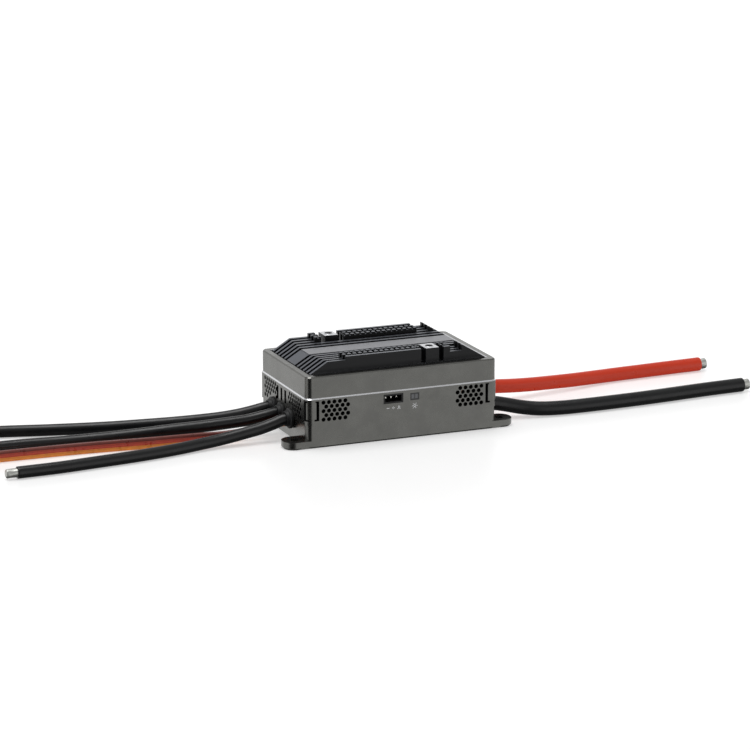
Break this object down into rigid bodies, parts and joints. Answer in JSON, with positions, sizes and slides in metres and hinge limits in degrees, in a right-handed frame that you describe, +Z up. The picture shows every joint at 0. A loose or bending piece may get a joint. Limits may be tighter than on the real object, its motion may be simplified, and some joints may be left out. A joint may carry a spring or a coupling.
{
  "type": "electronic speed controller",
  "caption": "Electronic speed controller in a vented grey case with a finned heatsink, mounting feet, motor and battery wires and a signal cable.",
  "frame": {"origin": "on the surface the feet stand on, under the middle of the case", "axes": "+X points to the battery wires, -Y to the face with the programming port, +Z up"},
  "size_m": [0.4145, 0.0846, 0.0382],
  "materials": {
    "case_grey": "satin",
    "black_anodised": "satin black anodised",
    "brass": "plain",
    "silver_plate": "matt anodised",
    "pad_grey": "matt",
    "board_green": "solder mask",
    "chip_black": "matt",
    "screw_steel": "black oxide",
    "cap_sleeve": "gloss",
    "copper": "plain",
    "ferrite": "matt",
    "port_black": "matt",
    "gold_pin": "plated",
    "led_body": "clear",
    "window_clear": "frosted",
    "rubber_black": "matt",
    "silicone_black": "satin silicone",
    "silicone_red": "satin silicone",
    "cable_orange": "satin",
    "tinned_copper": "solder tinned"
  },
  "bodies": {
    "root": {"lower_case": "case_grey", "cover": "case_grey", "heatsink": "black_anodised", "fan_inserts": "brass", "top_plate": "silver_plate", "thermal_pad": "pad_grey", "power_board": "board_green", "mosfets": "chip_black", "board_spacers": "brass", "case_screws": "screw_steel", "capacitors": "cap_sleeve", "motor_terminals": "copper", "battery_terminals": "copper", "control_board": "board_green", "microcontroller": "chip_black", "inductor": "ferrite", "board_link": "chip_black", "port_housing": "port_black", "port_pins": "gold_pin", "status_light": "led_body", "light_window": "window_clear", "motor_grommets": "rubber_black", "battery_grommets": "rubber_black", "cable_grommet": "rubber_black", "motor_wire_1": "silicone_black", "motor_wire_2": "silicone_black", "motor_wire_3": "silicone_black", "battery_wire_red": "silicone_red", "battery_wire_black": "silicone_black", "signal_cable": "cable_orange", "signal_loop": "cable_orange", "motor_tip_1": "tinned_copper", "motor_tip_2": "tinned_copper", "motor_tip_3": "tinned_copper", "battery_tip_red": "tinned_copper", "battery_tip_black": "tinned_copper", "signal_plug": "port_black", "plug_contacts": "gold_pin"}
  },
  "joints": []
}
